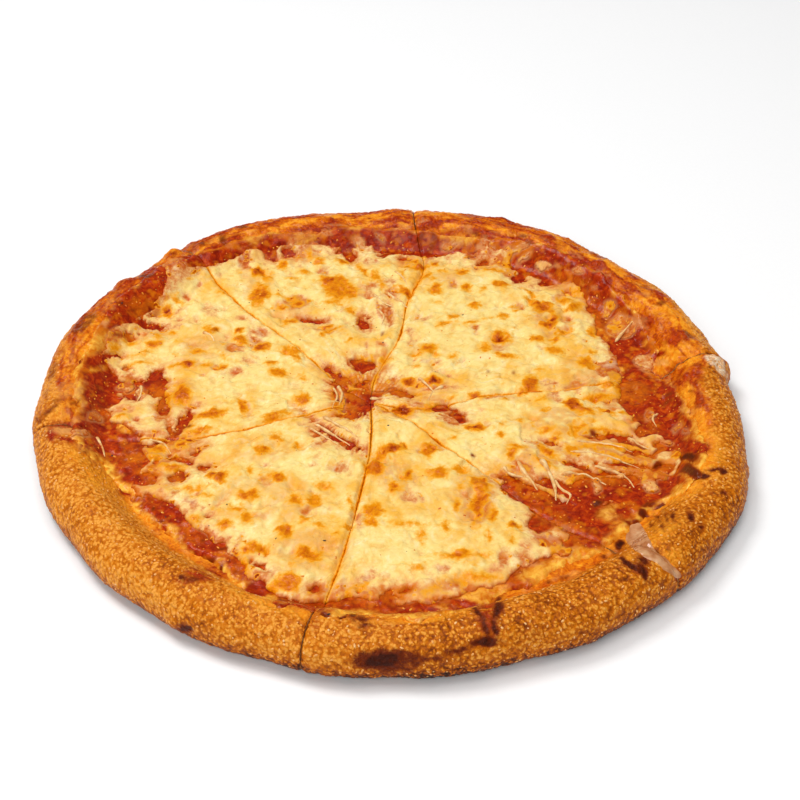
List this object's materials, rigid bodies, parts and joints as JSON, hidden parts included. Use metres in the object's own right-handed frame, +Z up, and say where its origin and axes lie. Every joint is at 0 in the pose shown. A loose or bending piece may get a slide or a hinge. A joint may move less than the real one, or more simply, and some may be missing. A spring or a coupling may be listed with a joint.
{
  "type": "margherita pizza",
  "caption": "Round baked pizza with tomato sauce and melted, browned cheese inside a raised golden-brown rim, cut into slices that lie together.",
  "frame": {"origin": "centre of the pizza's round, on the flat surface that it lies on", "axes": "+Z up, square to the surface that it lies on; -Y towards the side seen nearest in the picture; +X to that viewer's right"},
  "size_m": [0.299, 0.2974, 0.0208],
  "materials": {
    "crust": "baked wheat dough, dry and grainy, golden brown",
    "sauce": "cooked tomato sauce, wet and glossy, dark red",
    "cheese": "melted mozzarella, oily sheen, cream yellow with browned spots"
  },
  "bodies": {
    "root": {"crust_1": "crust", "crust_2": "crust", "crust_3": "crust", "crust_4": "crust", "crust_5": "crust", "crust_6": "crust", "sauce_1": "sauce", "sauce_2": "sauce", "sauce_3": "sauce", "sauce_4": "sauce", "sauce_5": "sauce", "sauce_6": "sauce", "cheese_1": "cheese", "cheese_2": "cheese", "cheese_3": "cheese", "cheese_4": "cheese", "cheese_5": "cheese", "cheese_6": "cheese"}
  },
  "joints": []
}
